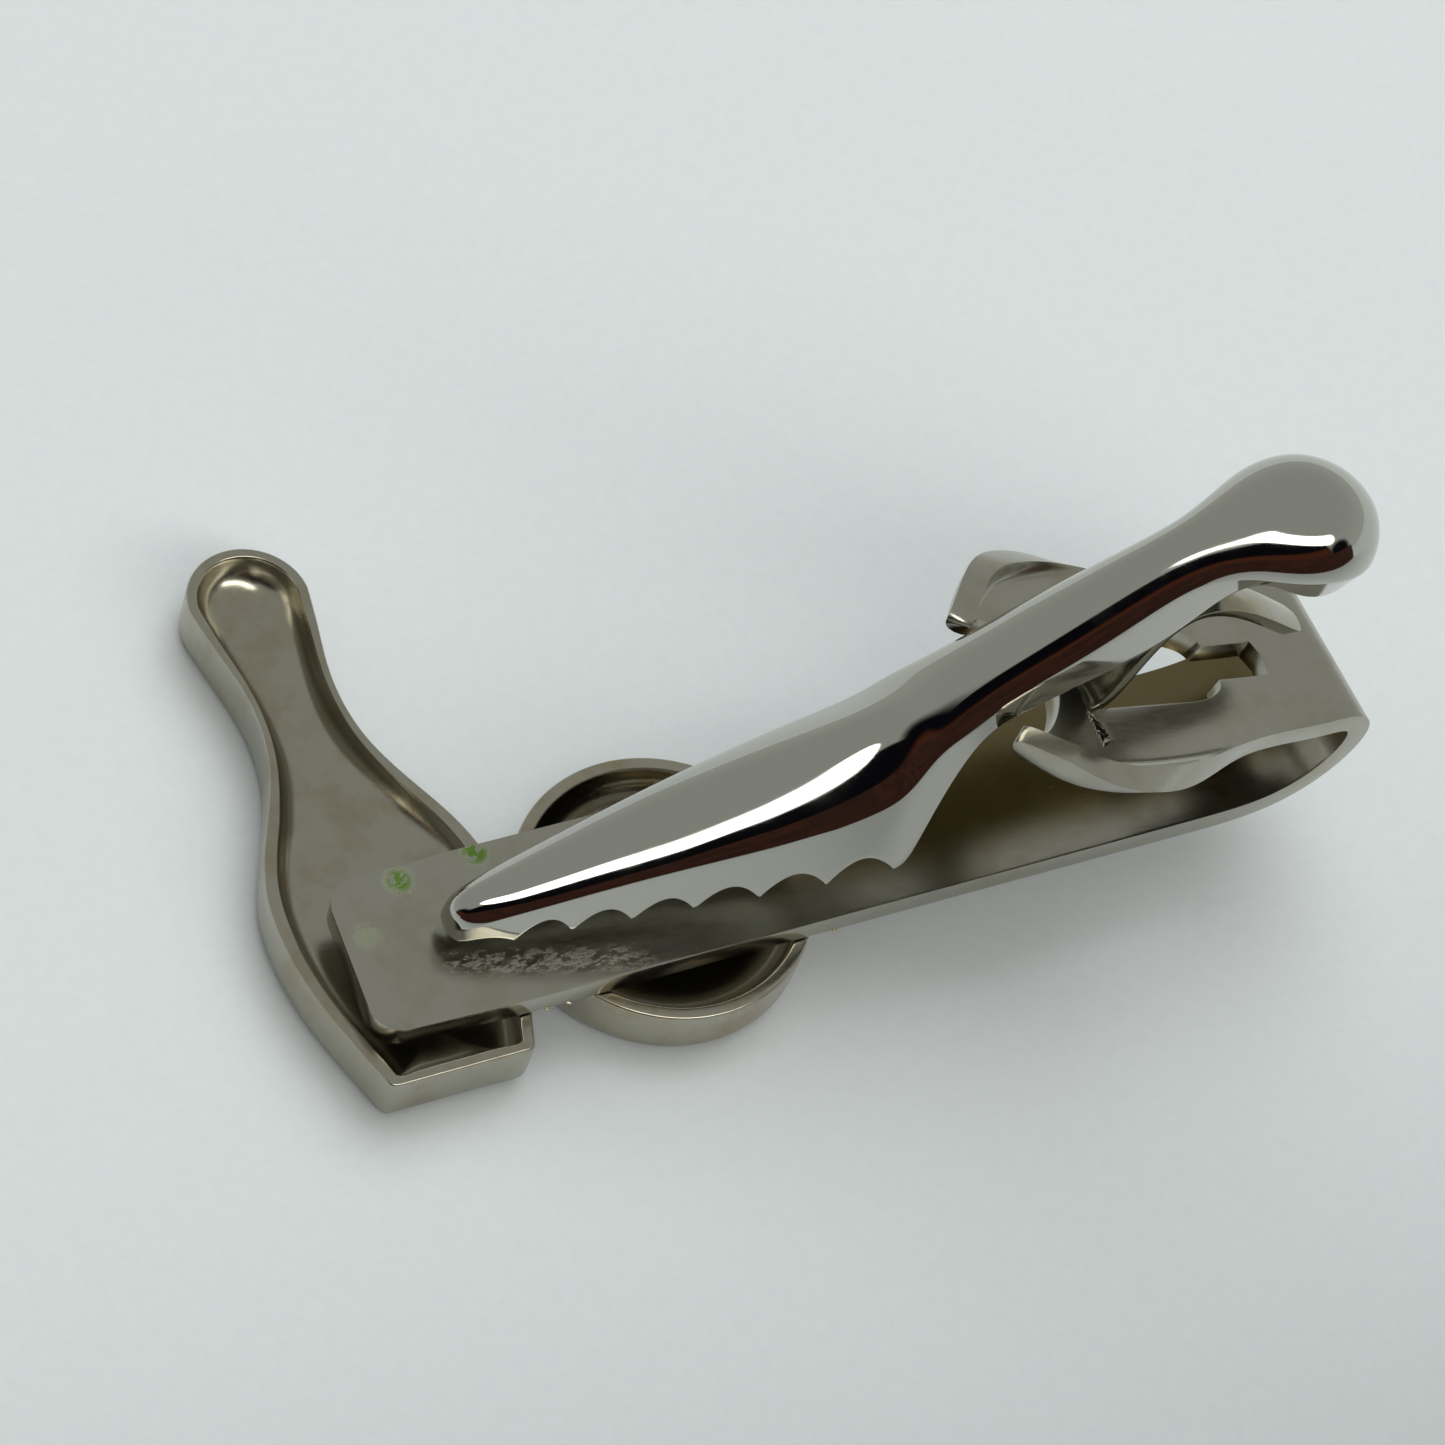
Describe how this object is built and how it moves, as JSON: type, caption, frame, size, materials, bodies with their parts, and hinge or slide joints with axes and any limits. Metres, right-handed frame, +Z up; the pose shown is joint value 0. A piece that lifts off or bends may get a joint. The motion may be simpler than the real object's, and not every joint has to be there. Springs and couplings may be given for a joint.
{
  "type": "tie clip",
  "caption": "Alligator tie clip lying face down: folded spring strip with curled ears, sprung toothed jaw lever, and two hollow stamped ornaments, a bowling pin and a ball.",
  "frame": {"origin": "centre of the bowling ball's flat front face, on the surface the clip lies on", "axes": "+X along the bar from the pin to the hairpin fold, +Y along the pin from its base to its head, +Z up, out of the backs of the ornaments"},
  "size_m": [0.0403, 0.0233, 0.0195],
  "materials": {
    "folded_strip": "satin nickel plate over spring brass",
    "spring_tongue": "satin nickel plate over spring brass",
    "jaw_lever": "mirror-polished nickel plate",
    "bowling_pin_shell": "worn bright plate",
    "bowling_ball_shell": "worn bright plate",
    "solder": "bright soft solder"
  },
  "bodies": {
    "clip_base": {"folded_strip": "folded_strip", "bowling_pin_shell": "bowling_pin_shell", "bowling_ball_shell": "bowling_ball_shell", "solder_joint_pin": "solder", "solder_joint_ball_left": "solder", "solder_joint_ball_right": "solder"},
    "lever": {"jaw_lever": "jaw_lever"},
    "tongue": {"spring_tongue": "spring_tongue"}
  },
  "joints": [
    {"name": "lever_hinge", "type": "hinge", "parent": "clip_base", "child": "lever", "pos_m": [0.0102, -0.00028, 0.0122], "axis": [0, 1, 0], "range_deg": [0, 15], "stiffness_Nm_per_rad": 0.01, "springref_deg": -22.92},
    {"name": "tongue_flex", "type": "hinge", "parent": "clip_base", "child": "tongue", "pos_m": [0.0143, -0.00028, 0.0104], "axis": [0, 1, 0], "range_deg": [0, 35]}
  ],
  "couplings": [
    {"joint": "tongue_flex", "follows": "lever_hinge", "ratio": 2.2}
  ]
}
